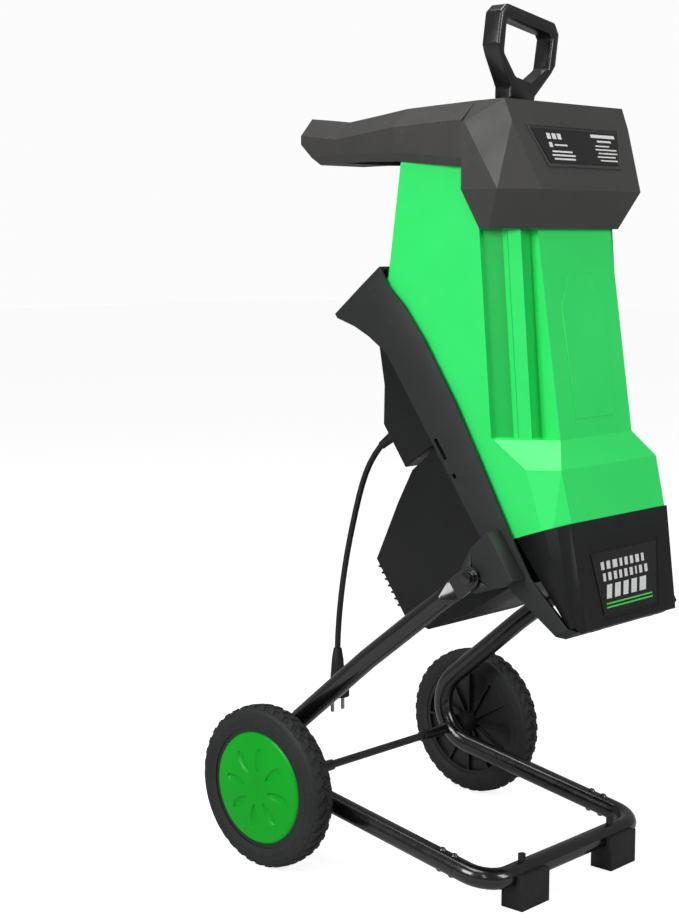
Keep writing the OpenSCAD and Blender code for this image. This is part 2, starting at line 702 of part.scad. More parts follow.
module brush_holders()
  at_motor(can_n + 17) for (a = [0, 180]) rotate([0, 0, a]) difference() {
    translate([comm_d / 2 + 3, -6, 0]) cube([in_d / 2 - comm_d / 2 - 4.2, 12, 11]);
    translate([comm_d / 2 + 2, -3.55, 2]) cube([20, 7.1, 7.1]);
  }
module brushes()
  at_motor(can_n + 17) for (a = [0, 180]) rotate([0, 0, a])
    translate([comm_d / 2 + 0.2, -3.5, 2.05]) cube([16, 7, 7]);

// plate with the feed slot and the fixed blade under it
feed_n = -3;
feed_x = 54;
feed_s0 = 200;
feed_s1 = 290;
module feed_plate()
  deck() difference() {
    union() {
      translate([shell_t + run - hop_x, 132, feed_n]) cube([2 * (hop_x - shell_t - run), 330, 3]);
      translate([-feed_x - 3, feed_s0 - 3, feed_n]) cube([2 * feed_x + 6, feed_s1 - feed_s0 + 6, 30]);
    }
    translate([-feed_x, feed_s0, feed_n - 5]) cube([2 * feed_x, feed_s1 - feed_s0, 50]);
  }
module counter_blade()
  deck() difference() {
    translate([-feed_x - 2, feed_s0 - 13, feed_n - 5]) cube([2 * feed_x + 4, 13, 5 - eps]);
    for (x = [-40, 40]) translate([x, feed_s0 - 8, feed_n - 6]) cylinder(d = 4, h = 3);
  }

// ---------------------------------------------------------------- frame
bolt_s = 118;
bolt_n = -63;
bolt_d = 8;
leg_a = 40;
leg_len = 145;
insert = 34;
joint = 12;
front_bar_y = -172;
front_bar_z = foot_h - 3.5;
bend_cy = axle_y - bend_r * 0.746;
bend_cz = wheel_r + bend_r * 0.666;
reach = norm([bend_cy - front_bar_y, bend_cz - front_bar_z]);
base_a = atan2(bend_cz - front_bar_z, bend_cy - front_bar_y) - asin(bend_r / reach);
base_len = sqrt(reach * reach - bend_r * bend_r);
base_y = bend_cy + bend_r * sin(base_a);
base_z = bend_cz - bend_r * cos(base_a);
leg_y = bend_cy + bend_r * sin(leg_a);
leg_z = bend_cz + bend_r * cos(leg_a);
kink = [leg_y - leg_len * cos(leg_a), leg_z + leg_len * sin(leg_a)];
bolt_p = [up_y(bolt_s, bolt_n), up_z(bolt_s, bolt_n)];
to_bolt = bolt_p - kink;
bolt_a = atan2(to_bolt[1], -to_bolt[0]);
tab_len = 44;
tab_w = 26;

// pipe of outside diameter d along flat points (u, v), with mitred joints between straight lengths
pipe_sides = 20;
function unit(v) = v / norm(v);
function side_of(v) = [-v[1], v[0]];
function pipe_out(pts, i) =
  let (a = side_of(unit(pts[max(i, 1)] - pts[max(i, 1) - 1])),
    b = side_of(unit(pts[min(i + 1, len(pts) - 1)] - pts[min(i, len(pts) - 2)])))
  (a + b) / (1 + a * b);
function arc(c, r, a0, a1, n) = [for (i = [0:n]) let (a = a0 + (a1 - a0) * i / n) c + r * [cos(a), sin(a)]];
function ring_faces(n, m) = concat([[for (k = [0:m - 1]) k]],
  [for (i = [0:n - 2]) for (k = [0:m - 1]) [i * m + k, (i + 1) * m + k, (i + 1) * m + (k + 1) % m,
    i * m + (k + 1) % m]],
  [[for (k = [m - 1:-1:0]) (n - 1) * m + k]]);
module pipe(d, pts)
  polyhedron(points = [for (i = [0:len(pts) - 1]) for (k = [0:pipe_sides - 1])
      let (a = k * 360 / pipe_sides, o = pipe_out(pts, i) * cos(a))
        [pts[i][0] + o[0] * d / 2, pts[i][1] + o[1] * d / 2, sin(a) * d / 2]],
    faces = ring_faces(len(pts), pipe_sides));
module base_frame() translate([0, base_y, base_z]) rotate([base_a, 0, 0]) children();
along = unit(to_bolt);
tab0 = bolt_p - tab_len * along;
base_dir = [cos(base_a), sin(base_a)];
side_end = base_len - corner_r - joint;
function side_path(tip, tail) = concat([tab0 + tip * along, kink],
  arc([bend_cy, bend_cz], bend_r, 90 - leg_a, base_a - 90, 11),
  [[base_y, base_z] - (side_end + tail) * base_dir]);
module tab_frame() translate([0, bolt_p[0], bolt_p[1]]) rotate([atan2(-along[1], -along[0]), 0, 0]) children();
module tube_side()
  translate([tube_x, 0, 0]) {
    difference() {
      union() {
        rotate([90, 0, 90]) pipe(tube_d, side_path(0, 0));
        tab_frame() hull() {
          translate([0, tab_len + 0.5, 0]) rotate([90, 0, 0]) cylinder(d = tube_d - 0.4, h = 1, $fn = 32);
          translate([-tab_t / 2, tab_len - 16, -tab_w / 2]) cube([tab_t, 1, tab_w]);
        }
        tab_frame() translate([-tab_t / 2, 0, -tab_w / 2]) cube([tab_t, tab_len - 15.5, tab_w]);
        tab_frame() cyl_x(tab_w, -tab_t / 2, tab_t / 2);
      }
      rotate([90, 0, 90]) pipe(tube_d - 2 * tube_wall, side_path(-tube_wall, 1));
      translate([0, axle_y, wheel_r]) cyl_x(axle_d + 2 * run, -30, 30);
      translate([0, bolt_p[0], bolt_p[1]]) cyl_x(bolt_d + 2 * run, -10, 10);
      rivet_holes();
    }
  }
rivet_at = [8, 26];
rivet_d = 5;
module rivet_holes()
  base_frame() for (r = rivet_at)
    translate([0, -(base_len - corner_r - joint - r), -20]) cylinder(d = rivet_d + 2 * run, h = 40);
insert_d = tube_d - 2 * tube_wall - 0.2;
peg_d = 9;
corner_y = base_len - corner_r;
function corner_path(end) = concat([[tube_x, end - corner_y]],
  arc([tube_x - corner_r, -corner_y], corner_r, 0, -90, 8),
  arc([corner_r - tube_x, -corner_y], corner_r, -90, -180, 8), [[-tube_x, end - corner_y]]);
module tube_front()
  difference() {
    base_frame() {
      pipe(tube_d, corner_path(joint - fit));
      pair() pipe(insert_d, [[tube_x, joint + insert - corner_y], [tube_x, joint - 4 - corner_y]]);
    }
    base_frame() {
      pipe(tube_d - 2 * tube_wall, corner_path(joint - 3));
      pair() pipe(insert_d - 2 * tube_wall, [[tube_x, joint + insert + 1 - corner_y], [tube_x, joint - 4 - corner_y]]);
    }
    pair() translate([tube_x, 0, 0]) rivet_holes();
    pair() foot_peg(2 * run);
  }
module tube_rivets()
  pair() translate([tube_x, 0, 0]) base_frame() for (r = rivet_at)
    translate([0, -(base_len - corner_r - joint - r), 0]) {
      translate([0, 0, -tube_d / 2 - 1]) cylinder(d = rivet_d, h = tube_d + 2);
      for (m = [0, 1]) mirror([0, 0, m]) translate([0, 0, tube_d / 2]) cylinder(d1 = rivet_d + 4, d2 = rivet_d + 1, h = 2);
    }
foot_x = tube_x - corner_r - foot_w - 2 * fit;
foot_lead = 6;
peg_top = front_bar_z + tube_d / 2 + 8;
module foot_peg(grow)
  translate([foot_x + foot_w / 2, front_bar_y, 12]) cylinder(d = peg_d + grow, h = peg_top - 12 + grow);
module foot() {
  difference() {
    translate([foot_x, front_bar_y - foot_l / 2 - foot_lead, 0]) cube([foot_w, foot_l, foot_h]);
    translate([0, front_bar_y, front_bar_z]) cyl_x(tube_d + 2 * run, foot_x - 1, foot_x + foot_w + 1);
    translate([foot_x + foot_w / 2, front_bar_y - foot_lead, -1]) cylinder(d = 12, h = 9);
  }
  foot_peg(0);
}
module bracket()
  difference() {
    deck() from_x(tray_x, tray_x + lug_t) polygon([[86, -14], [150, -14], [146, -46], [bolt_s + 17, bolt_n - 6],
      [bolt_s + 8, bolt_n - 16], [bolt_s - 10, bolt_n - 16], [bolt_s - 18, bolt_n - 6], [92, -44]]);
    translate([tray_x, bolt_p[0], bolt_p[1]]) cyl_x(bolt_d + 2 * run, -2, lug_t + 2);
  }
module frame_bolts()
  pair() translate([tube_x, bolt_p[0], bolt_p[1]]) {
    translate([tab_t / 2, 0, 0]) cyl_x(17, 0, 1.5);
    translate([tab_t / 2 + 1.5 - eps, 0, 0]) rotate([0, 90, 0]) cylinder(d = 15, h = 5.5, $fn = 6);
    cyl_x(bolt_d, -tab_t / 2 - lug_t - 9, tab_t / 2 + 2);
    translate([-tab_t / 2 - lug_t - 6.5, 0, 0]) rotate([0, 90, 0]) cylinder(d = 15, h = 6.5, $fn = 6);
  }
hub_end = 16;
module at_axle() translate([0, axle_y, wheel_r]) children();
module axle() at_axle() cyl_x(axle_d, -(wheel_out - hub_end + 6), wheel_out - hub_end + 6);
sleeve_len = 50;
module axle_sleeves()
  pair() at_axle() difference() {
    cyl_x(axle_d + 4, tube_x - tube_d / 2 + 0.4 - sleeve_len, tube_x - tube_d / 2);
    cyl_x(axle_d + 2 * run, 0, big / 3);
  }
module axle_nuts()
  pair() at_axle() difference() {
    cyl_x(18, wheel_out - hub_end + 0.3, wheel_out - hub_end + 6.5);
    cyl_x(axle_d, 0, wheel_out - hub_end + 6);
  }

// ---------------------------------------------------------------- wheels
rim_r = wheel_r - 26;
cap_r = cap_d / 2;
ribs = 12;
module tyre()
  at_axle() translate([wheel_in, 0, 0]) rotate([0, 90, 0]) rotate_extrude($fn = 96)
    polygon([[rim_r, 2], [wheel_r - 9, 0], [wheel_r - 2, 4], [wheel_r, 9], [wheel_r, wheel_w - 9],
      [wheel_r - 2, wheel_w - 4], [wheel_r - 9, wheel_w], [rim_r, wheel_w - 2]]);
module rim()
  at_axle() difference() {
    union() {
      translate([wheel_in, 0, 0]) rotate([0, 90, 0]) rotate_extrude($fn = 96)
        polygon([[cap_r + run, 3], [rim_r - run, 3], [rim_r - run, wheel_w - 3], [cap_r + run, wheel_w - 3],
          [cap_r + run, 12], [12, 12], [12, 8], [cap_r + run, 8]]);
      cyl_x(28, tube_x + tube_d / 2 + 0.6, wheel_out - hub_end);
      for (i = [0:ribs - 1]) rotate([i * 360 / ribs, 0, 0])
        translate([wheel_in + 3, -1.25, 12]) cube([6, 2.5, cap_r - 11]);
    }
    cyl_x(axle_d + 2 * run, 0, big / 3);
  }
dome = 7;
module hub_cap()
  at_axle()
    translate([wheel_out - 5, 0, 0]) rotate([0, 90, 0]) rotate_extrude($fn = 96)
      polygon([[0, 3], [cap_r - 14, 1.5], [cap_r - 3, -1.5], [cap_r - 3, -14], [cap_r, -14],
        [cap_r, 1], [cap_r - 6, 4], [cap_r - 20, dome - 1], [0, dome]]);

module placed() translate([0, centre_y, 0]) children();
centre_y = 12;

c_green = [0.1, 0.8, 0.35];
c_black = [0.22, 0.23, 0.23];
c_label = [0.06, 0.06, 0.06];
c_frame = [0.05, 0.05, 0.05];
c_tyre = [0.12, 0.12, 0.12];
c_steel = [0.6, 0.62, 0.64];
c_alu = [0.7, 0.72, 0.74];
c_copper = [0.72, 0.45, 0.25];
c_red = [0.75, 0.1, 0.1];

color(c_green) placed() hopper_shell();
color(c_black) placed() head_cover();
color(c_label) placed() head_label();
color(c_black) placed() feed_plate();
color(c_steel) placed() counter_blade();
color(c_black) placed() discharge_hood();
color(c_label) placed() hood_label();
color(c_black) placed() plunger_handle();
color(c_black) placed() plunger_stem();
color(c_black) placed() casing_tray();
color(c_black) placed() motor_housing();
color(c_black) placed() vent_grille();
color(c_steel) placed() housing_screws();
color(c_black) placed() switch_housing();
color(c_green) placed() button(on_x, button_d);  // button_on
color(c_red) placed() button(off_x, button_d);  // button_off
color(c_label) placed() button(reset_x, reset_d);  // button_reset
color(c_label) placed() cord_gland();
color(c_label) placed() cord();
color(c_label) placed() plug();
color(c_steel) placed() plug_pins();
color(c_black) placed() lock_knob();
color(c_steel) placed() lock_stud();
color(c_steel) placed() hinge_pin();
color(c_steel) placed() bearing_plate();
color(c_steel) placed() bearings();
color(c_steel) placed() spindle();
color(c_steel) placed() blade_disc();
color(c_steel) placed() blades();
color(c_steel) placed() blade_screws();
color(c_steel) placed() disc_bolt();
color(c_steel) placed() drive_gear();
color(c_alu) placed() gear_case();
color(c_alu) placed() motor_can();
color(c_steel) placed() stator();
color(c_steel) placed() armature_shaft();
color(c_steel) placed() rotor_stack();
color(c_copper) placed() commutator();
color(c_black) placed() motor_fan();
color(c_steel) placed() pinion();
color(c_copper) placed() brush_holders();
color(c_label) placed() brushes();
color(c_black) placed() mirror([1, 0, 0]) bracket();  // bracket_left
color(c_black) placed() bracket();  // bracket_right
color(c_frame) placed() mirror([1, 0, 0]) tube_side();  // tube_left
color(c_frame) placed() tube_side();  // tube_right
color(c_frame) placed() tube_front();
color(c_black) placed() mirror([1, 0, 0]) foot();  // foot_left
color(c_black) placed() foot();  // foot_right
color(c_steel) placed() frame_bolts();
color(c_steel) placed() tube_rivets();
color(c_steel) placed() axle();
color(c_frame) placed() axle_sleeves();
color(c_steel) placed() axle_nuts();
color(c_tyre) placed() mirror([1, 0, 0]) tyre();  // tyre_left
color(c_tyre) placed() tyre();  // tyre_right
color(c_black) placed() mirror([1, 0, 0]) rim();  // rim_left
color(c_black) placed() rim();  // rim_right
color(c_green) placed() mirror([1, 0, 0]) hub_cap();  // hub_cap_left
color(c_green) placed() hub_cap();  // hub_cap_right
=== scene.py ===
"""Electric garden shredder: materials, wheels, labels, cord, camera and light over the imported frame."""

import json
import math

import bmesh
import bpy
from mathutils import Matrix, Vector


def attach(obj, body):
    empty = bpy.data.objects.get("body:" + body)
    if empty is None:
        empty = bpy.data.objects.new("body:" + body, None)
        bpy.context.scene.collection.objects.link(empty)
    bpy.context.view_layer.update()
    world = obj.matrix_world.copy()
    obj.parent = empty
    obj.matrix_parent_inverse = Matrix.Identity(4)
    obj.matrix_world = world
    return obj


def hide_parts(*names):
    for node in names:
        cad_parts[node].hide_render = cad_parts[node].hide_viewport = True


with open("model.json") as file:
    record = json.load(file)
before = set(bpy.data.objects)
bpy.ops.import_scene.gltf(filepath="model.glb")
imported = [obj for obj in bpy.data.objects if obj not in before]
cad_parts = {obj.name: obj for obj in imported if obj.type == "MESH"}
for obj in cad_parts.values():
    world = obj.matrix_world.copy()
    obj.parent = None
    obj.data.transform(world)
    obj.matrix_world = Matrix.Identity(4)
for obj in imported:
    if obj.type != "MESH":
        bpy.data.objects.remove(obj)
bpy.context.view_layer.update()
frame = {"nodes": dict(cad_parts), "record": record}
scene = bpy.context.scene
scene.view_settings.view_transform = "Standard"

# ------------------------------------------------------------------ camera
cam_data = bpy.data.cameras.new("camera")
cam_data.sensor_fit = "VERTICAL"
cam_data.sensor_height = 24.0
cam_data.lens = 45.97
camera = bpy.data.objects.new("camera", cam_data)
camera.location = (-1.6711, -1.3400, 0.7656)
camera.rotation_euler = (math.radians(82.8), math.radians(-0.1), math.radians(-47.1))
scene.collection.objects.link(camera)
scene.camera = camera


# ------------------------------------------------------------------ helpers
def lin(r, g, b):
    """A screen colour, 0 to 255, as linear light."""
    out = []
    for c in (r, g, b):
        c /= 255.0
        out.append(c / 12.92 if c <= 0.04045 else ((c + 0.055) / 1.055) ** 2.4)
    return (*out, 1.0)


def add(obj, body, material=None, smooth=None):
    """Link a piece, give it its material and let it ride on a body."""
    if obj.name not in scene.collection.objects:
        scene.collection.objects.link(obj)
    if material:
        obj.data.materials.append(material)
    if smooth is not None:
        obj.data.polygons.foreach_set("use_smooth", [True] * len(obj.data.polygons))
        obj.data.set_sharp_from_angle(angle=math.radians(smooth))
    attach(obj, body)
    return obj


def from_bmesh(name, bm):
    mesh = bpy.data.meshes.new(name)
    bmesh.ops.recalc_face_normals(bm, faces=bm.faces[:])
    bm.to_mesh(mesh)
    bm.free()
    return bpy.data.objects.new(name, mesh)


# ------------------------------------------------------------------ materials
def node_material(name, colour, rough, spread=0.06, patch=9.0, grain=0.0, grain_scale=1400.0, coat=0.0,
                  coat_rough=0.1, metal=0.0, rough_spread=0.06, scuff=0.0, scuff_colour=None, specular=0.5,
                  stretch=(1.0, 1.0, 1.0)):
    """Surface with slow colour drift, uneven gloss, moulded or ground grain, and rubbed marks."""
    mat = bpy.data.materials.new(name)
    mat.use_nodes = True
    nt = mat.node_tree
    link = nt.links.new
    bsdf = nt.nodes["Principled BSDF"]
    bsdf.inputs["Metallic"].default_value = metal
    bsdf.inputs["Specular IOR Level"].default_value = specular
    bsdf.inputs["Coat Weight"].default_value = coat
    bsdf.inputs["Coat Roughness"].default_value = coat_rough
    coord = nt.nodes.new("ShaderNodeTexCoord")
    mapping = nt.nodes.new("ShaderNodeMapping")
    mapping.inputs["Scale"].default_value = stretch
    link(coord.outputs["Object"], mapping.inputs["Vector"])

    drift = nt.nodes.new("ShaderNodeTexNoise")
    drift.inputs["Scale"].default_value = patch
    drift.inputs["Detail"].default_value = 5.0
    link(mapping.outputs["Vector"], drift.inputs["Vector"])
    ramp = nt.nodes.new("ShaderNodeValToRGB")
    ramp.color_ramp.elements[0].position = 0.3
    ramp.color_ramp.elements[1].position = 0.7
    ramp.color_ramp.elements[0].color = (*[c * (1 - spread) for c in colour[:3]], 1)
    ramp.color_ramp.elements[1].color = (*[min(1.0, c * (1 + spread)) for c in colour[:3]], 1)
    link(drift.outputs["Fac"], ramp.inputs["Fac"])
    shade = ramp.outputs["Color"]

    if scuff > 0:
        rub = nt.nodes.new("ShaderNodeTexNoise")
        rub.inputs["Scale"].default_value = 70.0
        rub.inputs["Detail"].default_value = 8.0
        rub.inputs["Distortion"].default_value = 1.5
        link(mapping.outputs["Vector"], rub.inputs["Vector"])
        edge = nt.nodes.new("ShaderNodeMapRange")
        edge.inputs["From Min"].default_value = 0.60
        edge.inputs["From Max"].default_value = 0.78
        edge.inputs["To Max"].default_value = scuff
        link(rub.outputs["Fac"], edge.inputs["Value"])
        mix = nt.nodes.new("ShaderNodeMix")
        mix.data_type = "RGBA"
        mix.inputs["B"].default_value = scuff_colour or (0.25, 0.25, 0.25, 1)
        link(edge.outputs["Result"], mix.inputs["Factor"])
        link(shade, mix.inputs["A"])
        shade = mix.outputs["Result"]
    link(shade, bsdf.inputs["Base Color"])

    haze = nt.nodes.new("ShaderNodeTexNoise")
    haze.inputs["Scale"].default_value = patch * 4.3
    haze.inputs["Detail"].default_value = 6.0
    link(mapping.outputs["Vector"], haze.inputs["Vector"])
    gloss = nt.nodes.new("ShaderNodeMapRange")
    gloss.inputs["From Min"].default_value = 0.3
    gloss.inputs["From Max"].default_value = 0.7
    gloss.inputs["To Min"].default_value = max(0.02, rough - rough_spread)
    gloss.inputs["To Max"].default_value = min(1.0, rough + rough_spread)
    link(haze.outputs["Fac"], gloss.inputs["Value"])
    link(gloss.outputs["Result"], bsdf.inputs["Roughness"])

    if grain > 0:
        fine = nt.nodes.new("ShaderNodeTexNoise")
        fine.inputs["Scale"].default_value = grain_scale
        fine.inputs["Detail"].default_value = 2.0
        link(mapping.outputs["Vector"], fine.inputs["Vector"])
        bump = nt.nodes.new("ShaderNodeBump")
        bump.inputs["Strength"].default_value = grain
        bump.inputs["Distance"].default_value = 0.0004
        link(fine.outputs["Fac"], bump.inputs["Height"])
        link(bump.outputs["Normal"], bsdf.inputs["Normal"])
    return mat


GREEN = lin(46, 238, 110)
M = {
    "green_plastic": node_material("green_plastic", GREEN, 0.34, 0.05, 5.0, 0.10, 900.0, coat=0.15,
                                   coat_rough=0.25),
    "grey_plastic": node_material("grey_plastic", lin(62, 61, 60), 0.46, 0.10, 8.0, 0.45, 1300.0, scuff=0.10,
                                  scuff_colour=lin(120, 118, 115), specular=0.4),
    "casing_plastic": node_material("casing_plastic", lin(40, 42, 42), 0.48, 0.10, 8.0, 0.40, 1300.0,
                                    scuff=0.06, scuff_colour=lin(105, 105, 104), specular=0.35),
    # painted shade: dark_plastic is a darker copy of the casing plastic, standing in for the shade on the
    # motor housing and the other parts given it below
    "dark_plastic": node_material("dark_plastic", lin(23, 24, 24), 0.40, 0.12, 9.0, 0.35, 1300.0,
                                  specular=0.3),
    "grip_plastic": node_material("grip_plastic", lin(26, 26, 27), 0.24, 0.10, 14.0, 0.10, 900.0, coat=0.4,
                                  coat_rough=0.18),
    "label_black": node_material("label_black", lin(14, 14, 15), 0.22, 0.10, 30.0, 0.05, 900.0, coat=0.5,
                                 coat_rough=0.08),
    "steel": node_material("steel", lin(150, 152, 155), 0.34, 0.06, 30.0, 0.15, 700.0, metal=1.0,
                           stretch=(1, 1, 9)),
    "blade_steel": node_material("blade_steel", lin(178, 180, 184), 0.26, 0.05, 30.0, 0.20, 600.0, metal=1.0,
                                 stretch=(1, 8, 1)),
    "zinc": node_material("zinc", lin(170, 172, 176), 0.30, 0.08, 60.0, 0.12, 900.0, metal=1.0),
    "cast_alloy": node_material("cast_alloy", lin(150, 152, 156), 0.50, 0.08, 40.0, 0.60, 800.0, metal=1.0),
    "core_steel": node_material("core_steel", lin(92, 92, 96), 0.45, 0.10, 40.0, 0.40, 900.0, metal=1.0,
                                stretch=(1, 5, 5)),
    "copper": node_material("copper", lin(196, 120, 78), 0.32, 0.10, 60.0, 0.15, 900.0, metal=1.0),
    "carbon": node_material("carbon", lin(34, 34, 35), 0.62, 0.10, 60.0, 0.40, 1500.0),
    "frame_paint": node_material("frame_paint", lin(13, 13, 14), 0.22, 0.15, 18.0, 0.12, 320.0, coat=0.7,
                                 coat_rough=0.08, scuff=0.05, scuff_colour=lin(90, 90, 90)),
    "axle_paint": node_material("axle_paint", lin(34, 34, 36), 0.34, 0.15, 25.0, 0.15, 500.0, coat=0.3,
                                coat_rough=0.2, scuff=0.2, scuff_colour=lin(120, 120, 122)),
    "cord_rubber": node_material("cord_rubber", lin(20, 20, 22), 0.50, 0.10, 30.0, 0.20, 1200.0),
    "foot_rubber": node_material("foot_rubber", lin(16, 16, 17), 0.55, 0.12, 25.0, 0.35, 1000.0, scuff=0.15,
                                 scuff_colour=lin(70, 70, 70)),
    "button_green": node_material("button_green", lin(30, 170, 60), 0.28, 0.05, 60.0, 0.05, 900.0, coat=0.3),
    "button_red": node_material("button_red", lin(200, 30, 26), 0.28, 0.05, 60.0, 0.05, 900.0, coat=0.3),
    "button_black": node_material("button_black", lin(24, 24, 25), 0.30, 0.05, 60.0, 0.05, 900.0, coat=0.3),
    "tyre": node_material("tyre", lin(29, 30, 31), 0.66, 0.16, 22.0, 0.55, 900.0, scuff=0.22,
                          scuff_colour=lin(66, 65, 63)),
    "rim_plastic": node_material("rim_plastic", lin(24, 25, 26), 0.40, 0.12, 20.0, 0.25, 1000.0),
    "cap_green": node_material("cap_green", lin(0, 172, 34), 0.34, 0.06, 9.0, 0.10, 900.0, specular=0.22),
    "print_white": node_material("print_white", lin(226, 228, 226), 0.45, 0.04, 90.0, 0.05, 900.0),
    "print_green": node_material("print_green", lin(70, 225, 90), 0.45, 0.04, 90.0, 0.05, 900.0),
}

# where the hopper's two moulded corner grooves lie across the front, in metres from the middle; painted shade
# darkens the green in these bands
GROOVE_BANDS = ((0.0716, 0.0899), (0.0975, 0.1178))
GROOVE_FOOT_Z = 0.542
FRONT_FACING = -0.30


def painted_groove_shade(mat, colour):
    """Painted shade: on faces turned to the front above the skirt, the hopper's two moulded corner grooves
    are mixed to a deeper green than its flat walls, in place of the shade that falls in them.
    """
    nt = mat.node_tree
    link = nt.links.new
    base = nt.nodes["Principled BSDF"].inputs["Base Color"].links[0].from_socket
    coord = nt.nodes.new("ShaderNodeTexCoord")
    place = nt.nodes.new("ShaderNodeSeparateXYZ")
    facing = nt.nodes.new("ShaderNodeSeparateXYZ")
    link(coord.outputs["Object"], place.inputs["Vector"])
    link(coord.outputs["Normal"], facing.inputs["Vector"])

    def op(kind, a, b):
        node = nt.nodes.new("ShaderNodeMath")
        node.operation = kind
        for socket, value in zip(node.inputs, (a, b)):
            if hasattr(value, "links"):
                link(value, socket)
            else:
                socket.default_value = value
        return node.outputs["Value"]

    across = op("ABSOLUTE", place.outputs["X"], 0.0)
    high = op("GREATER_THAN", place.outputs["Z"], GROOVE_FOOT_Z)
    front = op("LESS_THAN", facing.outputs["Y"], FRONT_FACING)
    inner, outer = (op("MULTIPLY", op("GREATER_THAN", across, near), op("LESS_THAN", across, far))
                    for near, far in GROOVE_BANDS)
    # painted shade: the mask picks the groove bands on front-facing faces above the skirt
    groove_shade_mask = op("MULTIPLY", op("MULTIPLY", op("ADD", inner, outer), front), high)
    mix = nt.nodes.new("ShaderNodeMix")
    mix.data_type = "RGBA"
    mix.inputs["B"].default_value = colour
    link(groove_shade_mask, mix.inputs["Factor"])
    link(base, mix.inputs["A"])
    link(mix.outputs["Result"], nt.nodes["Principled BSDF"].inputs["Base Color"])


# painted shade: the hopper's grooves get this darker green in place of real shade
painted_groove_shade(M["green_plastic"], lin(24, 192, 82))

# ------------------------------------------------------------------ carried-over CAD nodes
SLOT = {s["node"]: s["material_slot"] for s in frame["record"]["subparts"]}
# dark_plastic on the housings, vent grille and discharge hood is painted shade: a darker copy of the casing
# plastic in place of the shade they sit in
OWN = {"plunger_handle": "grip_plastic", "tube_rivets": "frame_paint", "motor_housing": "dark_plastic",
       "switch_housing": "dark_plastic", "vent_grille": "dark_plastic", "discharge_hood": "dark_plastic"}
ROUND = {"discharge_hood": 1.6, "casing_tray": 1.2, "motor_housing": 1.6,
         "switch_housing": 1.4, "vent_grille": 0.5, "foot_left": 1.6, "foot_right": 1.6, "bracket_left": 1.2,
         "bracket_right": 1.2, "plug": 0.8, "lock_knob": 1.0, "plunger_handle": 5.5, "gear_case": 1.0,
         "frame_bolts": 0.4, "button_on": 0.6, "button_off": 0.6, "button_reset": 0.6, "plunger_stem": 1.0}
# angle above which an edge is drawn crisp, in degrees
CRISP = 28
SPLIT = {"hopper_shell": 9, "head_cover": 12}
for name, obj in frame["nodes"].items():
    material = M[OWN.get(name, SLOT[name])]
    if not obj.data.materials:
        obj.data.materials.append(material)
    for i in range(len(obj.data.materials)):
        obj.data.materials[i] = material
    weld = obj.modifiers.new("weld", "WELD")
    weld.merge_threshold = 2e-5
    if name in ROUND:
        bevel = obj.modifiers.new("bevel", "BEVEL")
        bevel.width = ROUND[name] / 1000
        bevel.segments = 3
        bevel.limit_method = "ANGLE"
        bevel.angle_limit = math.radians(24)
        bevel.use_clamp_overlap = True
        bevel.harden_normals = True
    else:
        # thin facets stop a bevel here, so the edges stay crisp
        split = obj.modifiers.new("split", "EDGE_SPLIT")
        split.split_angle = math.radians(SPLIT.get(name, CRISP))
        split.use_edge_sharp = False
    obj.data.polygons.foreach_set("use_smooth", [True] * len(obj.data.polygons))

# ------------------------------------------------------------------ cord
CORD_X = -0.066
CORD = [(55, 529.5), (62, 524.6), (72, 517.5), (82.5, 510), (91, 500), (99, 488.5), (106, 475.5),
        (112, 461), (117.5, 445), (122.5, 428), (127.5, 410), (132.5, 391), (137, 372), (141, 353),
        (144.5, 334), (147.5, 315), (150, 296), (151.8, 278), (153, 262), (153.5, 248), (153.5, 240)]
cord_points = [Vector((CORD_X, y / 1000, z / 1000)) for y, z in CORD]
curve = bpy.data.curves.new("mains_cord", "CURVE")
curve.dimensions = "3D"
curve.bevel_depth = 0.00373
curve.bevel_resolution = 5
curve.use_fill_caps = True
spline = curve.splines.new("POLY")
spline.points.add(len(cord_points) - 1)
for p, q in zip(spline.points, cord_points):
    p.co = (*q, 1)
cord = bpy.data.objects.new("mains_cord", curve)
add(cord, "frame", M["cord_rubber"])
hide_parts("cord")


# ------------------------------------------------------------------ wheels
WHEEL_X0, WHEEL_W, WHEEL_R = 0.186, 0.036, 0.100
AXLE = Vector((0, 0.143, 0.100))


def ring_point(x, r, a):
    return Vector((x, AXLE.y + r * math.cos(a), AXLE.z + r * math.sin(a)))


def lathe(bm, profile, steps, closed=True):
    """Revolve (x, r) points about the axle."""
    rows = []
    for i in range(steps):
        a = 2 * math.pi * i / steps
        rows.append([bm.verts.new(ring_point(x, r, a)) for x, r in profile])
    n = len(profile)
    for i in range(steps):
        u, v = rows[i], rows[(i + 1) % steps]
        for k in range(n if closed else n - 1):
            bm.faces.new((u[k], u[(k + 1) % n], v[(k + 1) % n], v[k]))


def block(bm, corners_low, corners_high):
    """A tread block from four lower and four upper corners."""
    low = [bm.verts.new(p) for p in corners_low]
    high = [bm.verts.new(p) for p in corners_high]
    bm.faces.new(high)
    for k in range(4):
        bm.faces.new((low[k], low[(k + 1) % 4], high[(k + 1) % 4], high[k]))


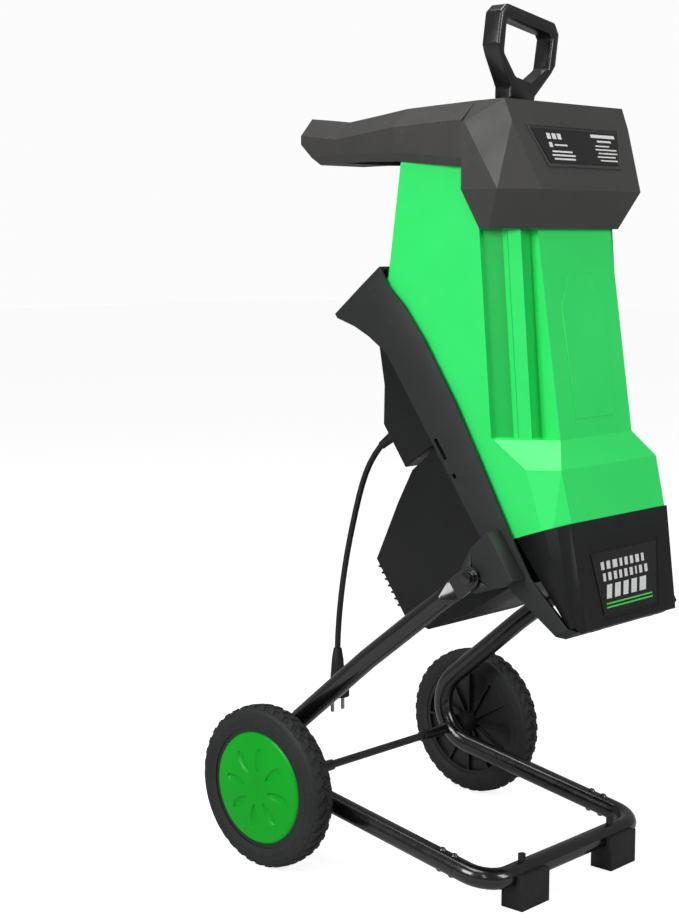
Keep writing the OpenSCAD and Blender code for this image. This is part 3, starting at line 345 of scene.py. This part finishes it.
def make_tyre(side, name):
    bm = bmesh.new()
    s = side
    x = lambda mm: s * (WHEEL_X0 + mm / 1000)
    w = WHEEL_W * 1000
    crown = 0.0974
    profile = [(x(2), 0.0741), (x(0.4), 0.080), (x(0.2), 0.088), (x(2.2), 0.0945), (x(6), crown),
               (x(w / 2), 0.0979), (x(w - 6), crown), (x(w - 2.2), 0.0945), (x(w - 0.2), 0.088),
               (x(w - 0.4), 0.080), (x(w - 2), 0.0741)]
    lathe(bm, profile, 144)
    count = 38
    step = 2 * math.pi / count
    # two staggered rows of angled blocks on the tread
    for row, (x0, x1, lead) in enumerate([(4.6, 16.6, 0.0), (w - 16.6, w - 4.6, 0.5)]):
        for i in range(count):
            a = (i + lead) * step
            slant = 0.22 * step * (1 if row else -1)
            span = 0.31 * step
            low, high = [], []
            for xx, sl in ((x0, -slant), (x1, slant)):
                edge = 0.0942 if (xx == x0 and row == 0) or (xx == x1 and row == 1) else 0.0970
                low += [(x(xx), edge, a - span + sl), (x(xx), edge, a + span + sl)]
                top = min(0.0999, edge + (0.0042 if edge < 0.096 else 0.0029))
                inset = 0.8 if xx == x0 else -0.8
                high += [(x(xx + inset), top, a - span * 0.82 + sl),
                         (x(xx + inset), top, a + span * 0.82 + sl)]
            order = (0, 1, 3, 2)
            block(bm, [ring_point(*low[k]) for k in order], [ring_point(*high[k]) for k in order])
    # centre zigzag rib
    for i in range(count):
        a = i * step
        off = 0.9 if i % 2 else -0.9
        pts = [(w / 2 - 1.4 + off, a - 0.30 * step), (w / 2 + 1.4 + off, a - 0.30 * step),
               (w / 2 + 1.4 - off, a + 0.30 * step), (w / 2 - 1.4 - off, a + 0.30 * step)]
        block(bm, [ring_point(x(p), 0.0972, b) for p, b in pts],
              [ring_point(x(p), 0.0994, b) for p, b in pts])
    # fine radial ribs on both side walls
    ribs = 96
    for i in range(ribs):
        a = 2 * math.pi * i / ribs
        h = 0.30 * math.pi / ribs
        for face, out in ((0.35, -0.34), (w - 0.35, 0.34)):
            rim_x = face + (0.9 if out < 0 else -0.9)
            near = [(face, 0.0835, a - h), (face, 0.0835, a + h), (rim_x, 0.0918, a + h),
                    (rim_x, 0.0918, a - h)]
            tip = [(p + out, r, b) for p, r, b in near]
            block(bm, [ring_point(x(p), r, b) for p, r, b in near],
                  [ring_point(x(p), r, b) for p, r, b in tip])
    # raised line round the outer wall beside the cap
    for face, out in ((0.5, -0.4), (w - 0.5, 0.4)):
        lathe(bm, [(x(face), 0.0805), (x(face + out), 0.0808), (x(face + out), 0.0818),
                   (x(face), 0.0822)], 144)
    obj = from_bmesh(name, bm)
    body = "wheel_left" if side < 0 else "wheel_right"
    add(obj, body, M["tyre"], smooth=30)
    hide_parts("tyre_left" if side < 0 else "tyre_right")
    return obj


def petal_depth(r, a):
    """Eight leaf-shaped hollows in the dome, 0 to 1."""
    k = round(a / (math.pi / 4))
    da = a - k * math.pi / 4
    along, across = r * math.cos(da), r * math.sin(da)
    middle, half = 0.0355, 0.0150
    t = (along - middle) / half
    if abs(t) >= 1:
        return 0.0
    width = 0.0052 * (1 - t * t) ** 0.6 * (1.0 + 0.25 * t)
    d = 1 - (across / width) ** 2 if width > 1e-6 else 0
    return max(0.0, d) ** 0.8


def make_cap(side, name):
    bm = bmesh.new()
    cap_r = 0.069
    outer = WHEEL_X0 + WHEEL_W - 0.005
    rings = [0.0004] + [cap_r * 0.955 * i / 62 for i in range(1, 63)]
    steps = 240

    def height(r, a):
        t = r / cap_r
        dome = 0.0068 - 0.0030 * t ** 2.4
        hub = 0.0010 * max(0.0, 1 - (r / 0.0125) ** 2)
        return dome - 0.0026 * petal_depth(r, a) - hub

    rows = []
    for r in rings:
        rows.append([bm.verts.new(ring_point(side * (outer + height(r, 2 * math.pi * i / steps)), r,
                                             2 * math.pi * i / steps + 0.12)) for i in range(steps)])
    edge = [(0.0036, 0.0668), (0.0030, 0.0680), (0.0018, 0.0687), (0.0002, 0.0690), (-0.0120, 0.0690),
            (-0.0120, 0.0670), (0.0000, 0.0665)]
    for dx, r in edge:
        rows.append([bm.verts.new(ring_point(side * (outer + dx), r, 2 * math.pi * i / steps + 0.12))
                     for i in range(steps)])
    for u, v in zip(rows, rows[1:]):
        for i in range(steps):
            j = (i + 1) % steps
            bm.faces.new((u[i], u[j], v[j], v[i]))
    bm.faces.new(rows[0])
    obj = from_bmesh(name, bm)
    body = "wheel_left" if side < 0 else "wheel_right"
    add(obj, body, M["cap_green"], smooth=40)
    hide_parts("hub_cap_left" if side < 0 else "hub_cap_right")
    return obj


for side, word in ((-1, "left"), (1, "right")):
    make_tyre(side, "tread_tyre_" + word)
    make_cap(side, "petal_cap_" + word)


# ------------------------------------------------------------------ flat marks on the shells
def plane_frame(origin, u, v):
    """Axes of a flat face: u to the right as seen from outside, v up, n out of the face."""
    u = Vector(u).normalized()
    v = (Vector(v) - u * u.dot(Vector(v))).normalized()
    return Vector(origin), u, v, u.cross(v)


def plate(name, face, outline, low, high, body, material, bevel=0.0):
    """Closed plate of the outline, in mm on a face, from low to high above it."""
    origin, u, v, n = face
    bm = bmesh.new()
    rows = []
    for h in (low, high):
        rows.append([bm.verts.new(origin + u * x / 1000 + v * y / 1000 + n * h / 1000) for x, y in outline])
    count = len(outline)
    bm.faces.new(rows[1])
    bm.faces.new(rows[0][::-1])
    for k in range(count):
        bm.faces.new((rows[0][k], rows[0][(k + 1) % count], rows[1][(k + 1) % count], rows[1][k]))
    obj = from_bmesh(name, bm)
    if bevel:
        mod = obj.modifiers.new("bevel", "BEVEL")
        mod.width = bevel / 1000
        mod.segments = 2
    return add(obj, body, material, smooth=30)


def band(name, face, outline, width, low, high, body, material, bevel=0.0):
    """Closed raised line that follows an outline, width mm wide."""
    origin, u, v, n = face
    count = len(outline)
    inner = []
    for k in range(count):
        p, a, b = (Vector(outline[i % count]) for i in (k, k - 1, k + 1))
        e0, e1 = (p - a).normalized(), (b - p).normalized()
        n0, n1 = Vector((-e0.y, e0.x)), Vector((-e1.y, e1.x))
        m = (n0 + n1) / (1 + n0.dot(n1))
        inner.append(p + m * width)
    bm = bmesh.new()
    rows = []
    for loop, h in ((outline, low), (outline, high), (inner, high), (inner, low)):
        rows.append([bm.verts.new(origin + u * p[0] / 1000 + v * p[1] / 1000 + n * h / 1000) for p in loop])
    for r in range(4):
        for k in range(count):
            a, b = rows[r], rows[(r + 1) % 4]
            bm.faces.new((a[k], a[(k + 1) % count], b[(k + 1) % count], b[k]))
    obj = from_bmesh(name, bm)
    if bevel:
        mod = obj.modifiers.new("bevel", "BEVEL")
        mod.width = bevel / 1000
        mod.segments = 2
    return add(obj, body, material, smooth=30)


# soft raised hexagon on the front panel
LEAN = math.radians(8.8)
panel = plane_frame((0, -0.17568, 0.640), (1, 0, 0), (0, math.sin(LEAN), math.cos(LEAN)))
HEX = [(-24, 724), (-43, 688), (-38.5, 561), (38.5, 561), (43, 688), (24, 724)]
plate("panel_hexagon", panel, [(x, (z - 640) / math.cos(LEAN)) for x, z in HEX], -0.4, 1.1, "hopper",
      M["green_plastic"], bevel=1.0)

# head cover: moulded surround, then plain bars and squares on the label
head = plane_frame((0, -0.1600, 0.8671), (1, 0, 0), (0, 30, 74))
band("label_surround", head, [(-90.5, 26.5), (-71.5, -25.5), (71.5, -25.5), (90.5, 26.5)], 3.2, -1.4, 0.5,
     "hopper", M["grey_plastic"], bevel=0.45)
HEAD_BARS = [(-58, -51, 8, 15), (-48, -41, 8, 15), (-38, -31, 8, 15), (-58, -52, -2, 4), (-48, -24, 0, 2),
             (-56, -18, -8, -6), (-58, -14, -12.5, -10.5), (-56, -16, -17, -15),
             (28, 76, 13, 17), (38, 66, 7.5, 9.8), (32, 60, 2, 3.6), (30, 72, -2.5, -0.9), (34, 72, -7, -5.4),
             (30, 66, -11.5, -9.9), (34, 68, -16, -14.4)]
for i, (x0, x1, y0, y1) in enumerate(HEAD_BARS):
    plate(f"head_bar_{i:02d}", head, [(x0, y0), (x1, y0), (x1, y1), (x0, y1)], -0.1, 0.15, "hopper",
          M["print_white"])

# discharge hood: plain blocks over a double line
TILT = math.radians(9.3)
hood = plane_frame((0, -0.246 + 0.012 * math.sin(TILT), 0.327 + 0.012 * math.cos(TILT)), (1, 0, 0),
                   (0, math.sin(TILT), math.cos(TILT)))
HOOD_ROWS = [(57.0, 9.0, 0.0, [6, 7, 9, 5, 6, 6, 7, 5]), (44.0, 9.0, 0.0, [5, 6, 6, 5, 6, 6, 3, 6, 6]),
             (24.0, 15.5, 3.6, [10, 11, 10, 11, 13])]
for row, (y0, tall, slant, widths) in enumerate(HOOD_ROWS):
    x0, gap = -49.0 + 2.0 * row, 5.0 if row < 2 else 6.0
    for i, wide in enumerate(widths):
        plate(f"hood_block_{row}_{i}", hood, [(x0, y0), (x0 + wide, y0), (x0 + wide + slant, y0 + tall),
                                              (x0 + slant, y0 + tall)], -0.4, -0.15, "hopper",
              M["print_white"])
        x0 += wide + gap
for i, y0 in enumerate((17.6, 13.4)):
    plate(f"hood_line_{i}", hood, [(-46, y0), (46, y0), (46, y0 + 1.7), (-46, y0 + 1.7)], -0.4, -0.15,
          "hopper",
          M["print_green"])

# ------------------------------------------------------------------ stage, light
floor_mesh = bpy.data.meshes.new("floor")
floor_mesh.from_pydata([(-14, -14, 0), (14, -14, 0), (14, 14, 0), (-14, 14, 0)], [], [(0, 1, 2, 3)])
floor = bpy.data.objects.new("floor", floor_mesh)
scene.collection.objects.link(floor)
floor_mat = bpy.data.materials.new("floor")
floor_mat.use_nodes = True
floor_mat.node_tree.nodes["Principled BSDF"].inputs["Base Color"].default_value = (0.42, 0.42, 0.42, 1)
floor_mat.node_tree.nodes["Principled BSDF"].inputs["Roughness"].default_value = 0.7
floor_mat.node_tree.nodes["Principled BSDF"].inputs["Emission Color"].default_value = (1, 1, 1, 1)
# the paper sweep is lit evenly as far as it is seen, and throws less light up than it shows
glow = floor_mat.node_tree.nodes.new("ShaderNodeMapRange")
glow.inputs["To Min"].default_value = 0.05
glow.inputs["To Max"].default_value = 0.84
view_ray = floor_mat.node_tree.nodes.new("ShaderNodeLightPath")
floor_mat.node_tree.links.new(view_ray.outputs["Is Camera Ray"], glow.inputs["Value"])
floor_mat.node_tree.links.new(glow.outputs["Result"],
                              floor_mat.node_tree.nodes["Principled BSDF"].inputs["Emission Strength"])
floor.data.materials.append(floor_mat)

world = bpy.data.worlds.new("studio")
world.use_nodes = True
sky = world.node_tree.nodes["Background"]
sky.inputs["Color"].default_value = (1, 1, 1, 1)
sky.inputs["Strength"].default_value = 0.22
backdrop = world.node_tree.nodes.new("ShaderNodeBackground")
backdrop.inputs["Color"].default_value = (1, 1, 1, 1)
backdrop.inputs["Strength"].default_value = 0.97
seen = world.node_tree.nodes.new("ShaderNodeLightPath")
pick = world.node_tree.nodes.new("ShaderNodeMixShader")
world.node_tree.links.new(seen.outputs["Is Camera Ray"], pick.inputs["Fac"])
world.node_tree.links.new(sky.outputs["Background"], pick.inputs[1])
world.node_tree.links.new(backdrop.outputs["Background"], pick.inputs[2])
world.node_tree.links.new(pick.outputs["Shader"], world.node_tree.nodes["World Output"].inputs["Surface"])
scene.world = world


def softbox(name, place, aim, size, power):
    data = bpy.data.lights.new(name, "AREA")
    data.shape = "RECTANGLE"
    data.size, data.size_y = size
    data.energy = power
    lamp = bpy.data.objects.new(name, data)
    lamp.location = place
    lamp.rotation_euler = (Vector(aim) - Vector(place)).to_track_quat("-Z", "Y").to_euler()
    scene.collection.objects.link(lamp)
    return lamp


softbox("key", (-2.9, 0.3, 2.0), (0, 0, 0.55), (1.5, 1.5), 66)
softbox("front", (0.6, -2.8, 1.9), (0, 0, 0.5), (1.0, 1.6), 34)
softbox("top", (-0.3, 0.2, 3.0), (0, 0, 0.4), (1.8, 1.2), 36)
softbox("strip", (-1.9, -1.9, 1.9), (0, 0, 0.3), (0.25, 1.6), 7)
